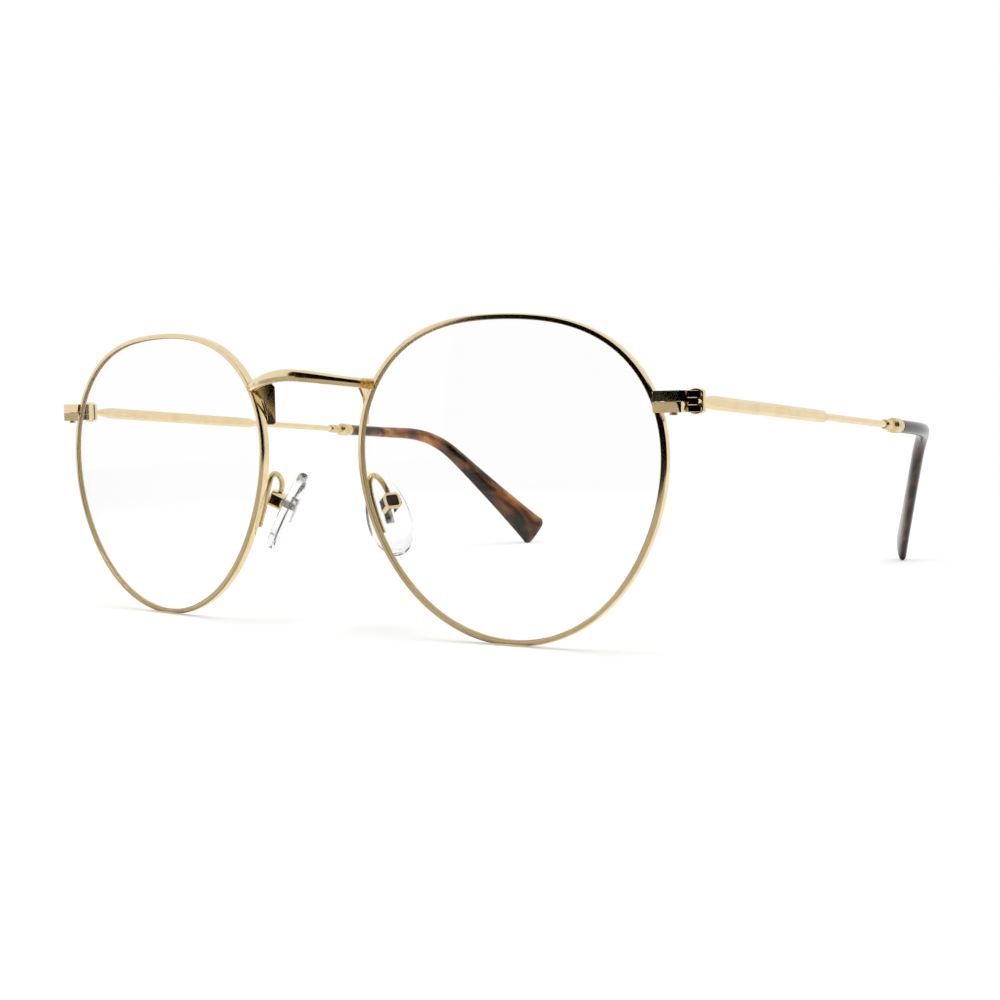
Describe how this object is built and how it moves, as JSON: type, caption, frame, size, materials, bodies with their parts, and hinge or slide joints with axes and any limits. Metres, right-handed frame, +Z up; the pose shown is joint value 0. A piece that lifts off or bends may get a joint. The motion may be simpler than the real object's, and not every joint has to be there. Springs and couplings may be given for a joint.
{
  "type": "round eyeglasses",
  "caption": "Round wire eyeglasses with a bowed bridge, split end pieces, folding temples with acetate tips and rocking nose pads.",
  "frame": {"origin": "on the table, under the middle of the open frame", "axes": "+X to the wearer's left, +Y back along the temples, +Z up"},
  "size_m": [0.1284, 0.1428, 0.0467],
  "materials": {
    "gold": "polished champagne gold plating",
    "screw": "gold plated steel",
    "lens": "clear, coated",
    "tortoise": "polished tortoise acetate",
    "insert": "plain",
    "silicone": "clear silicone"
  },
  "bodies": {
    "front": {"bridge": "gold", "left_rim": "gold", "right_rim": "gold", "left_lens": "lens", "right_lens": "lens", "left_end_piece": "gold", "right_end_piece": "gold", "left_closing_block": "gold", "right_closing_block": "gold", "left_closing_screw": "screw", "right_closing_screw": "screw", "left_front_hinge": "gold", "right_front_hinge": "gold", "left_hinge_screw": "screw", "right_hinge_screw": "screw", "left_pad_arm": "gold", "right_pad_arm": "gold", "left_pad_box": "gold", "right_pad_box": "gold", "left_pad_screw": "screw", "right_pad_screw": "screw"},
    "left_side": {"left_temple_hinge": "gold", "left_temple_head": "gold", "left_temple": "gold", "left_ferrule": "gold", "left_tip": "tortoise"},
    "right_side": {"right_temple_hinge": "gold", "right_temple_head": "gold", "right_temple": "gold", "right_ferrule": "gold", "right_tip": "tortoise"},
    "left_nose_pad": {"left_pad_insert": "insert", "left_pad": "silicone"},
    "right_nose_pad": {"right_pad_insert": "insert", "right_pad": "silicone"}
  },
  "joints": [
    {"name": "left_temple_fold", "type": "hinge", "parent": "front", "child": "left_side", "pos_m": [0.05827, -0.05935, 0.03404], "axis": [0, 0, 1], "range_deg": [0, 86]},
    {"name": "right_temple_fold", "type": "hinge", "parent": "front", "child": "right_side", "pos_m": [-0.05827, -0.05935, 0.03404], "axis": [0, 0, -1], "range_deg": [0, 77]},
    {"name": "left_pad_rock", "type": "hinge", "parent": "front", "child": "left_nose_pad", "pos_m": [0.0117, -0.06081, 0.0196], "axis": [0.501, 0.8624, 0.0727], "range_deg": [-8, 8]},
    {"name": "right_pad_rock", "type": "hinge", "parent": "front", "child": "right_nose_pad", "pos_m": [-0.0117, -0.06081, 0.0196], "axis": [0.501, -0.8624, -0.0727], "range_deg": [-8, 8]}
  ]
}
